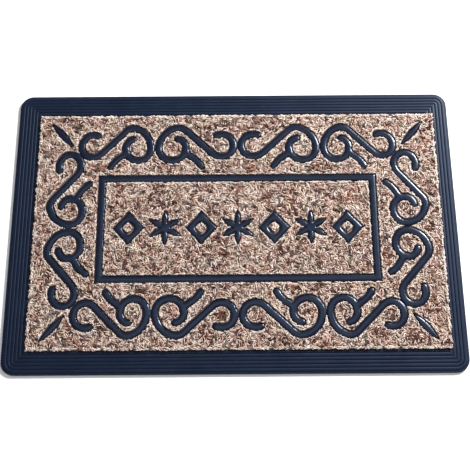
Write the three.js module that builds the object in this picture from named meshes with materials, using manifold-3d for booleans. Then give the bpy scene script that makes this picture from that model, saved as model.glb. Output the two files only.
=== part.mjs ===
// Door mat: a moulded rubber mat with a reeded border and a carpet of pile. Rubber ribs lie in grooves of the
// pile: twelve scrolls round a rectangular frame, a dart at each corner, and a row of ornaments inside.
// Millimetres, +Z up. The origin is on the floor under the middle of the mat, and +X runs along its length.
import * as THREE from 'three';
import { mergeVertices } from 'three/addons/utils/BufferGeometryUtils.js';
import Module from 'manifold-3d';

const wasm = await Module();
wasm.setup();

// Plan of the mat. The carpet is set off centre, so the borders differ and the right one shows fewer reeds.
const MAT_LENGTH = 600;
const MAT_WIDTH = 400;
const CORNER_RADIUS = 18;
const BORDER_LEFT = 31;
const BORDER_RIGHT = 21;
const BORDER_FRONT = 30.5;
const BORDER_BACK = 33.5;

// Thickness of each layer.
const BACKING_THICKNESS = 2;
const SCRIM_THICKNESS = 1;
const PRESSED_PILE = 1; // what is left of the pile under a rib
const PILE_HEIGHT = 5.5; // above the scrim
const RIB_HEIGHT = 3; // above the pressed pile
const EDGE_THICKNESS = 1.6; // of the border above the backing, at the mat's edge
const BORDER_THICKNESS = 3.6; // of the border above the backing, beside the carpet

// Reeds that run round the border.
const REED_COUNT = 6;
const REED_PITCH = 4.7;
const REED_DEPTH = 0.9;
const REED_MARGIN = 2.6; // from the mat's edge to the first reed
const REED_FLANK = 1.3; // width of a reed's sloping side

// Ribs: bars with drafted sides and round ends.
const RIB_WIDTH = 10;
const RIB_DRAFT = 1.7; // by which each side leans in from foot to crown
const LEAF_END_WIDTH = 9.6;
const CLEARANCE = 0.3; // between a piece and what it is set into
const CONTACT_GAP = 0.4; // between two ribs that meet

// Frame and rows of scrolls, in from the carpet's edge.
const FRAME_INSET_X = 85;
const FRAME_INSET_Y = 91;
const ROW_INSET_X = 43; // to the line on which the scrolls of a short side meet
const ROW_INSET_Y = 45; // and of a long side
const SIDE_ROW_INSET = 9; // from the long sides' line to the end of a short side's row

// One scroll: a loop that opens into an arch, a straight, and a hook. Its leaf branches off the loop.
const SCROLL_LENGTH = 114; // of the bay that it is drawn for; other bays stretch it
const LOOP_RADIUS = 19;
const LOOP_DROP = 5; // of the loop's centre below the row's line
const SHOULDER_RADIUS = 31.5; // from the loop's widest point up to the arch
const SHOULDER_END = THREE.MathUtils.degToRad(105);
const ARCH_RADIUS = 15;
const TIP_RADIUS = 14;
const TIP_ANGLE = THREE.MathUtils.degToRad(80);
const HOOK_RADIUS = 17;
const HOOK_DROP = 1.5;
const HOOK_ANGLE = THREE.MathUtils.degToRad(113);
const LEAF_START = 9; // of the leaf, below the row's line
const LEAF_REACH = 23;
const LEAF_FALL = 24;
const SIDE_DEPTH = 0.89; // depth of a short side's scroll, as a share of a long side's
const CORNER_BAY_LOSS = 8; // by which the bays at the corners are shorter than the ones in the middle

// Corner darts, on a line out from where two hooks meet.
const DART_LENGTH = 44;
const DART_WIDTH = 10;
const DART_TIP_WIDTH = 2.4;
const DART_START = 20;
const DART_ANGLE = THREE.MathUtils.degToRad(49);

// Ornaments inside the frame, lozenges and flowers by turns.
const ORNAMENT_COUNT = 7;
const ORNAMENT_WIDTH = 43;
const ORNAMENT_HEIGHT = 48;
const ORNAMENT_GAP = 6;
const PETAL_COUNT = 6;
const PETAL_WIDTH = 9;

// Fineness of the curves.
const ARC_STEP = THREE.MathUtils.degToRad(24);
const CAP_STEPS = 3;
const CORNER_STEPS = 4;
const LEAF_STEPS = 5;
const DART_STEPS = 4;
const REACH_ACCURACY = 0.01; // to which the place is found where two hooks meet

// Levels, and the carpet's outline, that follow from the values above.
const SCRIM_Z = BACKING_THICKNESS;
const PILE_Z = SCRIM_Z + SCRIM_THICKNESS;
const RIB_Z = PILE_Z + PRESSED_PILE;
const RIB_TOP = RIB_Z + RIB_HEIGHT;
const PILE_TOP = PILE_Z + PILE_HEIGHT;
const BEYOND = 1; // by which a cutter runs past what it cuts
const CARPET_LEFT = -MAT_LENGTH / 2 + BORDER_LEFT;
const CARPET_RIGHT = MAT_LENGTH / 2 - BORDER_RIGHT;
const CARPET_FRONT = -MAT_WIDTH / 2 + BORDER_FRONT;
const CARPET_BACK = MAT_WIDTH / 2 - BORDER_BACK;
const CENTRE = new THREE.Vector2((CARPET_LEFT + CARPET_RIGHT) / 2, (CARPET_FRONT + CARPET_BACK) / 2);
const HALF_X = (CARPET_RIGHT - CARPET_LEFT) / 2;
const HALF_Y = (CARPET_BACK - CARPET_FRONT) / 2;

const RUBBER = new THREE.MeshStandardMaterial({ color: 0x161b26, roughness: 0.55, metalness: 0 });
const RIB_RUBBER = new THREE.MeshStandardMaterial({ color: 0x111722, roughness: 0.38, metalness: 0 });
const PILE = new THREE.MeshStandardMaterial({ color: 0xc29a7c, roughness: 0.95, metalness: 0 });
const SCRIM = new THREE.MeshStandardMaterial({ color: 0x3a352f, roughness: 0.9, metalness: 0 });

const group = new THREE.Group();

function addMesh(name, geometry, material) {
  const mesh = new THREE.Mesh(geometry, material.clone());
  mesh.name = name;
  group.add(mesh);
}

// ---- Solids -----------------------------------------------------------------------------------------------

function solidOf(geometry) {
  const bare = geometry.clone();
  bare.deleteAttribute('normal');
  bare.deleteAttribute('uv');
  const merged = mergeVertices(bare, 1e-4);
  return new wasm.Manifold(
    new wasm.Mesh({
      numProp: 3,
      vertProperties: new Float32Array(merged.attributes.position.array),
      triVerts: new Uint32Array(merged.index.array),
    }),
  );
}

function geometryOf(solid) {
  const mesh = solid.getMesh();
  return geometryFrom(mesh.vertProperties, [...mesh.triVerts]);
}

function geometryFrom(vertices, indices) {
  const geometry = new THREE.BufferGeometry();
  geometry.setAttribute('position', new THREE.Float32BufferAttribute(vertices, 3));
  geometry.setIndex(indices);
  geometry.computeVertexNormals();
  return geometry;
}

// A solid between two outlines that have the same number of points, both counter-clockwise.
function loft(lower, upper, bottom, top) {
  const count = lower.length;
  const vertices = [...lower.flatMap((p) => [p.x, p.y, bottom]), ...upper.flatMap((p) => [p.x, p.y, top])];
  const indices = [];
  for (let i = 0; i < count; i++) {
    const j = (i + 1) % count;
    indices.push(i, j, j + count, i, j + count, i + count);
  }
  for (const [a, b, c] of THREE.ShapeUtils.triangulateShape(lower, [])) {
    indices.push(a, c, b);
  }
  for (const [a, b, c] of THREE.ShapeUtils.triangulateShape(upper, [])) {
    indices.push(count + a, count + b, count + c);
  }
  return solidOf(geometryFrom(vertices, indices));
}

// A layer of the carpet: the window of the border, less the clearance.
function carpetLayer(clearance, bottom, top) {
  const geometry = new THREE.BoxGeometry(2 * (HALF_X - clearance), 2 * (HALF_Y - clearance), top - bottom);
  return solidOf(geometry.translate(CENTRE.x, CENTRE.y, (bottom + top) / 2));
}

// The mat's outline, moved inwards. Further in than the corner radius, a trace of round is left.
function matOutline(inset) {
  const radius = Math.max(CORNER_RADIUS - inset, CLEARANCE);
  const x = MAT_LENGTH / 2 - inset - radius;
  const y = MAT_WIDTH / 2 - inset - radius;
  const corners = [[x, y], [-x, y], [-x, -y], [x, -y]];
  return corners.flatMap(([cornerX, cornerY], quarter) =>
    Array.from({ length: CORNER_STEPS + 1 }, (_, i) => {
      const angle = ((quarter + i / CORNER_STEPS) * Math.PI) / 2;
      return new THREE.Vector2(cornerX + radius * Math.cos(angle), cornerY + radius * Math.sin(angle));
    }),
  );
}

// ---- Centrelines ------------------------------------------------------------------------------------------

function arc(centre, radius, from, to) {
  const steps = Math.max(1, Math.ceil(Math.abs(to - from) / ARC_STEP));
  return Array.from({ length: steps + 1 }, (_, i) => {
    const angle = from + ((to - from) * i) / steps;
    return new THREE.Vector2(centre.x + radius * Math.cos(angle), centre.y + radius * Math.sin(angle));
  });
}

// One centreline from arcs that meet end to end, without the point that two of them share.
function joined(...arcs) {
  return arcs.flatMap((points, i) => {
    const starts = i === 0 || points[0].distanceTo(arcs[i - 1].at(-1)) > CLEARANCE;
    return starts ? points : points.slice(1);
  });
}

// Half a rib and half the gap between two that meet: how far a centreline stays from the end of its bay.
const SIDE_ROOM = (RIB_WIDTH + CONTACT_GAP) / 2;

function hookCentre() {
  return new THREE.Vector2(SCROLL_LENGTH - SIDE_ROOM - HOOK_RADIUS, -HOOK_DROP);
}

// The scroll's centreline in its own bay: x runs along the row from where two loops meet, y outwards.
function scrollLine() {
  const loop = new THREE.Vector2(SIDE_ROOM + LOOP_RADIUS, -LOOP_DROP);
  const tip = new THREE.Vector2(loop.x + LOOP_RADIUS - TIP_RADIUS, loop.y);
  const shoulder = new THREE.Vector2(SIDE_ROOM + SHOULDER_RADIUS, loop.y);
  const rise = new THREE.Vector2(SHOULDER_RADIUS - ARCH_RADIUS, 0);
  const arch = rise.rotateAround(new THREE.Vector2(), SHOULDER_END).add(shoulder);
  const hook = hookCentre();
  const across = hook.clone().sub(arch);
  const leave = across.angle() + Math.acos((ARCH_RADIUS + HOOK_RADIUS) / across.length());
  const archEnd = leave > Math.PI ? leave - 2 * Math.PI : leave;
  return joined(
    arc(tip, TIP_RADIUS, TIP_ANGLE, 0),
    arc(loop, LOOP_RADIUS, 0, -Math.PI),
    arc(shoulder, SHOULDER_RADIUS, Math.PI, SHOULDER_END),
    arc(arch, ARCH_RADIUS, SHOULDER_END, archEnd),
    arc(hook, HOOK_RADIUS, archEnd - Math.PI, HOOK_ANGLE),
  );
}

// The leaf's centreline, an S that starts inside the loop's rib.
function leafLine() {
  const inside = RIB_WIDTH / 6;
  const start = new THREE.Vector2(SIDE_ROOM + 2 * LOOP_RADIUS - inside, -LEAF_START);
  const end = new THREE.Vector2(start.x + LEAF_REACH, start.y - LEAF_FALL);
  const bendOut = new THREE.Vector2(start.x + LEAF_REACH * 0.22, start.y - LEAF_FALL * 0.46);
  const bendBack = new THREE.Vector2(start.x + LEAF_REACH * 0.58, start.y - LEAF_FALL * 0.3);
  return new THREE.CubicBezierCurve(start, bendOut, bendBack, end).getPoints(LEAF_STEPS);
}

// ---- Ribs -------------------------------------------------------------------------------------------------

// The outline of a bar along a centreline, counter-clockwise, with round ends.
function barOutline(line, halfWidth) {
  const last = line.length - 1;
  const heading = (i) => line[Math.min(i + 1, last)].clone().sub(line[Math.max(i - 1, 0)]).angle();
  const edge = (i, turn) => {
    const angle = heading(i) + turn;
    const out = new THREE.Vector2(Math.cos(angle), Math.sin(angle));
    return out.multiplyScalar(halfWidth(i / last)).add(line[i]);
  };
  const quarter = Math.PI / 2;
  const capTurns = Array.from({ length: CAP_STEPS + 1 }, (_, k) => (k * Math.PI) / CAP_STEPS);
  const cap = (i, turn) => capTurns.map((further) => edge(i, turn + further));
  const middle = line.slice(1, last).map((_, i) => i + 1);
  return [
    ...middle.map((i) => edge(i, -quarter)),
    ...cap(last, -quarter),
    ...middle.reverse().map((i) => edge(i, quarter)),
    ...cap(0, quarter),
  ];
}

function barSolid({ line, width }) {
  const foot = barOutline(line, (share) => width(share) / 2);
  const crown = barOutline(line, (share) => (width(share) / 2) * (1 - (2 * RIB_DRAFT) / RIB_WIDTH));
  return loft(foot, crown, RIB_Z, RIB_TOP);
}

function barGroove({ line, width }) {
  const wall = barOutline(line, (share) => width(share) / 2 + CLEARANCE);
  return loft(wall, wall, RIB_Z, PILE_TOP + BEYOND);
}

const grooves = [];

function addRib(name, bars) {
  const rib = bars.map(barSolid).reduce((a, b) => a.add(b));
  addMesh(name, geometryOf(rib), RIB_RUBBER);
  grooves.push(...bars.map(barGroove));
}

// A rib that closes on itself. outlineAt gives its centreline, moved outwards by a distance.
function addClosedRib(name, outlineAt) {
  const half = RIB_WIDTH / 2;
  const body = loft(outlineAt(half), outlineAt(half - RIB_DRAFT), RIB_Z, RIB_TOP);
  const slope = RIB_DRAFT / RIB_HEIGHT;
  const below = outlineAt(-half - slope * BEYOND);
  const above = outlineAt(-half + RIB_DRAFT + slope * BEYOND);
  const hole = loft(below, above, RIB_Z - BEYOND, RIB_TOP + BEYOND);
  addMesh(name, geometryOf(body.subtract(hole)), RIB_RUBBER);
  const wall = outlineAt(half + CLEARANCE);
  const island = outlineAt(-half - CLEARANCE);
  const trench = loft(wall, wall, RIB_Z, PILE_TOP + BEYOND);
  grooves.push(trench.subtract(loft(island, island, RIB_Z - BEYOND, PILE_TOP + 2 * BEYOND)));
}

// ---- Scrolls round the frame ------------------------------------------------------------------------------

// Places are measured from the carpet's centre, in its right back quarter.
const rowX = HALF_X - ROW_INSET_X;
const rowY = HALF_Y - ROW_INSET_Y;

// A bay: where its loop meets the next one, its length, its directions along the row and outwards, and its
// depth as a share of the scroll's own. Reach is how far a long side's row runs from its middle.
function longSideBays(side, sign, reach) {
  const cornerBay = (reach - CORNER_BAY_LOSS) / 2;
  const innerBay = reach - cornerBay;
  const kinds = [[-1, -1, cornerBay], [-1, 1, innerBay], [1, -1, innerBay], [1, 1, cornerBay]];
  return kinds.map(([half, towards, bayLength], i) => ({
    name: `scroll_${side}_${i + 1}`,
    meet: new THREE.Vector2(half * innerBay, sign * rowY),
    bayLength,
    along: new THREE.Vector2(towards, 0),
    outwards: new THREE.Vector2(0, sign),
    depth: 1,
  }));
}

function shortSideBays(side, sign) {
  return [1, -1].map((towards, i) => ({
    name: `scroll_${side}_${i + 1}`,
    meet: new THREE.Vector2(sign * rowX, 0),
    bayLength: rowY - SIDE_ROW_INSET,
    along: new THREE.Vector2(0, towards),
    outwards: new THREE.Vector2(sign, 0),
    depth: SIDE_DEPTH,
  }));
}

// Moves a centreline into its bay, and turns it round where the bay mirrors it. It is stretched along the
// row so that both ends of the bay keep their room.
function inBay(line, { meet, bayLength, along, outwards, depth }) {
  const stretch = (bayLength - 2 * SIDE_ROOM) / (SCROLL_LENGTH - 2 * SIDE_ROOM);
  const start = CENTRE.clone().add(meet).addScaledVector(along, SIDE_ROOM);
  return line.map((p) =>
    start
      .clone()
      .addScaledVector(along, stretch * (p.x - SIDE_ROOM))
      .addScaledVector(outwards, depth * p.y),
  );
}

function scrollBar(bay) {
  return { line: inBay(scrollLine(), bay), width: () => RIB_WIDTH };
}

function leafBar(bay) {
  const width = (share) => RIB_WIDTH + (LEAF_END_WIDTH - RIB_WIDTH) * share;
  return { line: inBay(leafLine(), bay), width };
}

// How far a long side's row reaches, for its end hook to meet the short side's hook.
function touchingReach() {
  const [sideBay] = shortSideBays('right', 1);
  const sideHook = barSolid(scrollBar(sideBay));
  const gapAt = (reach) => {
    const endBay = longSideBays('back', 1, reach).at(-1);
    return sideHook.minGap(barSolid(scrollBar(endBay)), RIB_WIDTH);
  };
  let [clear, past] = [rowX / 2, rowX];
  while (past - clear > REACH_ACCURACY) {
    const tried = (clear + past) / 2;
    if (gapAt(tried) > CONTACT_GAP) {
      clear = tried;
    } else {
      past = tried;
    }
  }
  return clear;
}

const rowReach = touchingReach();
const bays = [
  ...longSideBays('back', 1, rowReach),
  ...longSideBays('front', -1, rowReach),
  ...shortSideBays('left', -1),
  ...shortSideBays('right', 1),
];
for (const bay of bays) {
  addRib(bay.name, [scrollBar(bay), leafBar(bay)]);
}

// ---- Corner darts -----------------------------------------------------------------------------------------

function dartLine(from, direction, length) {
  return Array.from({ length: DART_STEPS + 1 }, (_, i) =>
    from.clone().addScaledVector(direction, (length * i) / DART_STEPS),
  );
}

// Pointed at both ends and widest in the middle.
function dartWidth(widest) {
  return (share) => DART_TIP_WIDTH + (widest - DART_TIP_WIDTH) * Math.sin(Math.PI * share);
}

// Halfway between the hooks that meet at the right back corner, from the carpet's centre.
function hooksMeeting() {
  const bayEnds = [longSideBays('back', 1, rowReach).at(-1), shortSideBays('right', 1)[0]];
  const [endHook, sideHook] = bayEnds.map((bay) => inBay([hookCentre()], bay)[0]);
  return endHook.add(sideHook).divideScalar(2).sub(CENTRE);
}

for (const [depth, signY] of [['back', 1], ['front', -1]]) {
  for (const [side, signX] of [['left', -1], ['right', 1]]) {
    const mirror = new THREE.Vector2(signX, signY);
    const direction = new THREE.Vector2(Math.cos(DART_ANGLE), Math.sin(DART_ANGLE)).multiply(mirror);
    const start = hooksMeeting().multiply(mirror).add(CENTRE).addScaledVector(direction, DART_START);
    const line = dartLine(start, direction, DART_LENGTH);
    addRib(`corner_dart_${depth}_${side}`, [{ line, width: dartWidth(DART_WIDTH) }]);
  }
}

// ---- Frame and the row of ornaments -----------------------------------------------------------------------

function frameOutline(outwards) {
  const x = HALF_X - FRAME_INSET_X - RIB_WIDTH / 2 + outwards;
  const y = HALF_Y - FRAME_INSET_Y - RIB_WIDTH / 2 + outwards;
  const corners = [[x, y], [-x, y], [-x, -y], [x, -y]];
  return corners.map(([dx, dy]) => new THREE.Vector2(CENTRE.x + dx, CENTRE.y + dy));
}

function lozengeOutline(centreX) {
  const x = ORNAMENT_WIDTH / 2;
  const y = ORNAMENT_HEIGHT / 2;
  const sideDistance = (x * y) / Math.hypot(x, y);
  return (outwards) => {
    const scale = (sideDistance - RIB_WIDTH / 2 + outwards) / sideDistance;
    return [[x, 0], [0, y], [-x, 0], [0, -y]].map(
      ([dx, dy]) => new THREE.Vector2(centreX + scale * dx, CENTRE.y + scale * dy),
    );
  };
}

function flowerBars(centreX) {
  const length = (ORNAMENT_HEIGHT - DART_TIP_WIDTH) / 2;
  return Array.from({ length: PETAL_COUNT }, (_, i) => {
    const angle = Math.PI / 2 + (2 * Math.PI * i) / PETAL_COUNT;
    const direction = new THREE.Vector2(Math.cos(angle), Math.sin(angle));
    const line = dartLine(new THREE.Vector2(centreX, CENTRE.y), direction, length);
    return { line, width: dartWidth(PETAL_WIDTH) };
  });
}

addClosedRib('panel_frame', frameOutline);
for (let i = 0; i < ORNAMENT_COUNT; i++) {
  const centreX = CENTRE.x + (i - (ORNAMENT_COUNT - 1) / 2) * (ORNAMENT_WIDTH + ORNAMENT_GAP);
  if (i % 2 === 0) {
    addClosedRib(`ornament_${i + 1}_lozenge`, lozengeOutline(centreX));
  } else {
    addRib(`ornament_${i + 1}_flower`, flowerBars(centreX));
  }
}

// ---- Border, backing and carpet ---------------------------------------------------------------------------

// The border's section, as points of distance in from the mat's edge and height. It runs on under the
// carpet, where the window is cut out of it.
function borderSection() {
  const reedsEnd = REED_MARGIN + REED_COUNT * REED_PITCH;
  const widest = Math.max(BORDER_LEFT, BORDER_RIGHT, BORDER_FRONT, BORDER_BACK) + BEYOND;
  const rise = (BORDER_THICKNESS - EDGE_THICKNESS) / reedsEnd;
  const crest = (inset) => SCRIM_Z + EDGE_THICKNESS + rise * Math.min(inset, reedsEnd);
  const valley = (inset) => [inset, crest(inset) - REED_DEPTH];
  const reeds = Array.from({ length: REED_COUNT }, (_, i) => {
    const start = REED_MARGIN + i * REED_PITCH;
    const [rises, falls] = [start + REED_FLANK, start + REED_PITCH - REED_FLANK];
    return [valley(start), [rises, crest(rises)], [falls, crest(falls)]];
  });
  return [[0, SCRIM_Z], valley(0), ...reeds.flat(), valley(reedsEnd), valley(widest), [widest, SCRIM_Z]];
}

function borderRing() {
  const section = borderSection();
  const rings = section.map(([inset]) => matOutline(inset));
  const count = rings[0].length;
  const vertices = rings.flatMap((ring, k) => ring.flatMap((p) => [p.x, p.y, section[k][1]]));
  const indices = [];
  for (let k = 0; k < rings.length; k++) {
    const here = k * count;
    const next = ((k + 1) % rings.length) * count;
    for (let i = 0; i < count; i++) {
      const j = (i + 1) % count;
      indices.push(here + i, here + j, next + j, here + i, next + j, next + i);
    }
  }
  return solidOf(geometryFrom(vertices, indices));
}

const border = borderRing().subtract(carpetLayer(0, SCRIM_Z - BEYOND, PILE_TOP));
addMesh('reeded_border', geometryOf(border), RUBBER);
addMesh('rubber_backing', geometryOf(loft(matOutline(0), matOutline(0), 0, BACKING_THICKNESS)), RUBBER);
addMesh('carpet_scrim', geometryOf(carpetLayer(CLEARANCE, SCRIM_Z, PILE_Z)), SCRIM);
const wholePile = carpetLayer(CLEARANCE, PILE_Z, PILE_TOP);
const pile = grooves.reduce((left, groove) => left.subtract(groove), wholePile);
addMesh('pile_carpet', geometryOf(pile), PILE);

export default group;
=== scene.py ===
"""The look of a door mat: a reeded rubber border, moulded rubber ribs, and a carpet of coarse yarn pile.
Metres, +Z up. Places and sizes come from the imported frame."""
import math

import bmesh
import bpy
import numpy as np
from mathutils import Matrix, Vector
from mathutils.geometry import delaunay_2d_cdt
from mathutils.kdtree import KDTree


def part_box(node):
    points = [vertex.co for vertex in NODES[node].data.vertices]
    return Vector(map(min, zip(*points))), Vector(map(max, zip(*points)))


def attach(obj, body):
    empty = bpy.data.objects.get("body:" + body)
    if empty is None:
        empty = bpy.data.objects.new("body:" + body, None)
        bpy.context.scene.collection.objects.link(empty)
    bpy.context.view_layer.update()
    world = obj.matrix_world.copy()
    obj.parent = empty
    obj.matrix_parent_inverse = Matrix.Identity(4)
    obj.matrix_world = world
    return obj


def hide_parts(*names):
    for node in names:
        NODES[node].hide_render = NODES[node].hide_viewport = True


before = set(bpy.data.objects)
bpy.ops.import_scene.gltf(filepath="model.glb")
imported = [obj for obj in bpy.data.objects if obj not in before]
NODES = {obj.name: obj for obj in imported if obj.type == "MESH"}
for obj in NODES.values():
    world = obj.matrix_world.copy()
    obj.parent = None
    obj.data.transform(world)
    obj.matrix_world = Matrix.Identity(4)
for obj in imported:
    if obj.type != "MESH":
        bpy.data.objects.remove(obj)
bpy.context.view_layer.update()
MM = 0.001
RNG = np.random.default_rng(20407)

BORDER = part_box("reeded_border")
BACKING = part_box("rubber_backing")
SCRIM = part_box("carpet_scrim")
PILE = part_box("pile_carpet")
FLOOR_OF_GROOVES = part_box("panel_frame")[0].z
RIB_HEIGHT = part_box("panel_frame")[1].z - FLOOR_OF_GROOVES
RIBS = sorted(n for n in NODES if n.startswith(("scroll_", "corner_", "ornament_", "panel_")))
CLEARANCE = 0.3 * MM
OUTLINE_SAMPLE = 0.25 * MM


# ---- Meshes --------------------------------------------------------------------------------------


def new_piece(name, vertices, faces, material, smooth=True):
    mesh = bpy.data.meshes.new(name)
    mesh.from_pydata([tuple(v) for v in vertices], [], [tuple(f) for f in faces])
    mesh.validate()
    mesh.update()
    mesh.polygons.foreach_set("use_smooth", [smooth] * len(mesh.polygons))
    mesh.materials.append(material)
    piece = bpy.data.objects.new(name, mesh)
    bpy.context.scene.collection.objects.link(piece)
    return piece


def face_outwards(piece):
    bm = bmesh.new()
    bm.from_mesh(piece.data)
    bmesh.ops.recalc_face_normals(bm, faces=bm.faces)
    if bm.calc_volume(signed=True) < 0:
        bmesh.ops.reverse_faces(bm, faces=bm.faces)
    bm.to_mesh(piece.data)
    bm.free()


def merged_cad(node):
    """The CAD node's mesh with its split edges joined again."""
    bm = bmesh.new()
    bm.from_mesh(NODES[node].data)
    bmesh.ops.remove_doubles(bm, verts=bm.verts, dist=1e-6)
    return bm


def foot_loops(node):
    """The outlines of the node's flat underside, as arrays of points in order."""
    bm = merged_cad(node)
    low = min(v.co.z for v in bm.verts)
    under = {f for f in bm.faces if all(v.co.z < low + 1e-5 for v in f.verts)}
    rim = [e for e in bm.edges if sum(f in under for f in e.link_faces) == 1]
    follows = {}
    for e in rim:
        for a, b in (e.verts, reversed(e.verts)):
            follows.setdefault(a.index, []).append(b.index)
    place = {v.index: (v.co.x, v.co.y) for v in bm.verts}
    loops, left = [], set(follows)
    while left:
        start = min(left)
        loop, here, before = [start], follows[start][0], start
        while here != start:
            loop.append(here)
            ahead = [i for i in follows[here] if i != before]
            before, here = here, ahead[0]
        left -= set(loop)
        loops.append(np.array([place[i] for i in loop]))
    bm.free()
    return loops


def area_of(loop):
    x, y = loop[:, 0], loop[:, 1]
    return float((x * np.roll(y, -1) - y * np.roll(x, -1)).sum() / 2)


def rounded(loop, spacing, long_over=0.02):
    """The loop as a smooth curve through its points. Sides over long_over stay straight."""
    n = len(loop)
    ahead = np.roll(loop, -1, 0) - loop
    long = np.linalg.norm(ahead, axis=1) > long_over
    points = []
    for i in range(n):
        p0, p1, p2, p3 = (loop[(i + k) % n] for k in (-1, 0, 1, 2))
        length = float(np.linalg.norm(p2 - p1))
        steps = max(1, round(length / spacing))
        share = np.arange(steps)[:, None] / steps
        if long[i]:
            points.append(p1 + (p2 - p1) * share)
            continue
        back, on = (np.linalg.norm(p1 - p0), np.linalg.norm(p3 - p2))
        first = (p2 - p0) / (length + back) * length if not long[i - 1] else (p1 - p0) / back * length
        last = (p3 - p1) / (length + on) * length if not long[(i + 1) % n] else (p3 - p2) / on * length
        h00, h10 = 2 * share**3 - 3 * share**2 + 1, share**3 - 2 * share**2 + share
        h01, h11 = -2 * share**3 + 3 * share**2, share**3 - share**2
        points.append(h00 * p1 + h10 * first + h01 * p2 + h11 * last)
    return np.concatenate(points)


class Outline:
    """Loops of points, with how far a place is from them."""

    def __init__(self, loops):
        ends = [np.roll(loop, -1, 0) for loop in loops]
        samples = []
        for a, b in zip(np.concatenate(loops), np.concatenate(ends)):
            steps = max(1, math.ceil(float(np.hypot(*(b - a))) / OUTLINE_SAMPLE))
            samples.append(a + (b - a) * (np.arange(steps)[:, None] / steps))
        samples = np.concatenate(samples)
        self.tree = KDTree(len(samples))
        for i, (x, y) in enumerate(samples):
            self.tree.insert((x, y, 0), i)
        self.tree.balance()

    def distance(self, points):
        return np.array([self.tree.find((x, y, 0))[2] for x, y in points])


def inside(points, loops):
    """Whether each point is inside the loops, by how often a line to the right of it crosses them."""
    a = np.concatenate(loops)
    b = np.concatenate([np.roll(loop, -1, 0) for loop in loops])
    crossings = np.zeros(len(points), int)
    x, y = points[:, 0], points[:, 1]
    for (ax, ay), (bx, by) in zip(a, b):
        spans = (ay > y) != (by > y)
        if spans.any():
            at = ax + (y[spans] - ay) * (bx - ax) / (by - ay)
            crossings[spans] += at > x[spans]
    return crossings % 2 == 1


def triangulated(loops, extra):
    """Delaunay triangles that fill the loops, through the extra points as well."""
    points = [Vector(p) for loop in loops for p in loop] + [Vector(p) for p in extra]
    edges, at = [], 0
    for loop in loops:
        edges += [(at + i, at + (i + 1) % len(loop)) for i in range(len(loop))]
        at += len(loop)
    made, _, faces, *_ = delaunay_2d_cdt(points, edges, [], 0, 1e-7)
    made = np.array([tuple(p) for p in made])
    faces = np.array([f for f in faces if len(f) == 3])
    keep = inside(made[faces].mean(1), loops)
    return made, faces[keep]


# ---- Materials -----------------------------------------------------------------------------------


class Nodes:
    """A short way to write a material's node tree."""

    def __init__(self, name):
        self.material = bpy.data.materials.new(name)
        self.material.use_nodes = True
        self.tree = self.material.node_tree
        self.shader = self.tree.nodes["Principled BSDF"]

    def add(self, kind, **settings):
        node = self.tree.nodes.new(kind)
        for key, value in settings.items():
            setattr(node, key, value)
        return node

    def link(self, output, socket):
        self.tree.links.new(output, socket)

    def noise(self, vector, scale, detail=4.0, rough=0.55, distortion=0.0):
        node = self.add("ShaderNodeTexNoise")
        node.inputs["Scale"].default_value = scale
        node.inputs["Detail"].default_value = detail
        node.inputs["Roughness"].default_value = rough
        node.inputs["Distortion"].default_value = distortion
        self.link(vector, node.inputs["Vector"])
        return node.outputs["Fac"]

    def mapped(self, vector, scale):
        node = self.add("ShaderNodeMapping")
        node.inputs["Scale"].default_value = scale
        self.link(vector, node.inputs["Vector"])
        return node.outputs["Vector"]

    def ramp(self, fac, stops, kind="LINEAR"):
        node = self.add("ShaderNodeValToRGB")
        ramp = node.color_ramp
        ramp.interpolation = kind
        while len(ramp.elements) < len(stops):
            ramp.elements.new(1.0)
        for element, (place, colour) in zip(ramp.elements, stops):
            element.position = place
            element.color = (*colour, 1.0) if hasattr(colour, "__len__") else (colour, colour, colour, 1.0)
        self.link(fac, node.inputs["Fac"])
        return node.outputs["Color"]

    def mix(self, fac, a, b, blend="MIX"):
        node = self.add("ShaderNodeMix", data_type="RGBA", blend_type=blend)
        for socket, value in ((node.inputs[0], fac), (node.inputs[6], a), (node.inputs[7], b)):
            if isinstance(value, bpy.types.NodeSocket):
                self.link(value, socket)
            elif hasattr(value, "__len__"):
                socket.default_value = (*value, 1.0)
            else:
                socket.default_value = value
        return node.outputs[2]

    def maths(self, operation, a, b=0.0, clamp=False):
        node = self.add("ShaderNodeMath", operation=operation, use_clamp=clamp)
        for socket, value in zip(node.inputs, (a, b)):
            if isinstance(value, bpy.types.NodeSocket):
                self.link(value, socket)
            else:
                socket.default_value = value
        return node.outputs[0]

    def rough(self, fac, low, high, fac_low=0.0, fac_high=1.0):
        """Roughness from low to high as the factor goes from fac_low to fac_high."""
        node = self.add("ShaderNodeMapRange")
        node.inputs["From Min"].default_value = fac_low
        node.inputs["From Max"].default_value = fac_high
        node.inputs["To Min"].default_value = low
        node.inputs["To Max"].default_value = high
        self.link(fac, node.inputs["Value"])
        self.link(node.outputs["Result"], self.shader.inputs["Roughness"])

    def bump(self, height, strength, distance, before=None):
        node = self.add("ShaderNodeBump")
        node.inputs["Strength"].default_value = strength
        node.inputs["Distance"].default_value = distance
        self.link(height, node.inputs["Height"])
        if before is not None:
            self.link(before, node.inputs["Normal"])
        return node.outputs["Normal"]


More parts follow.
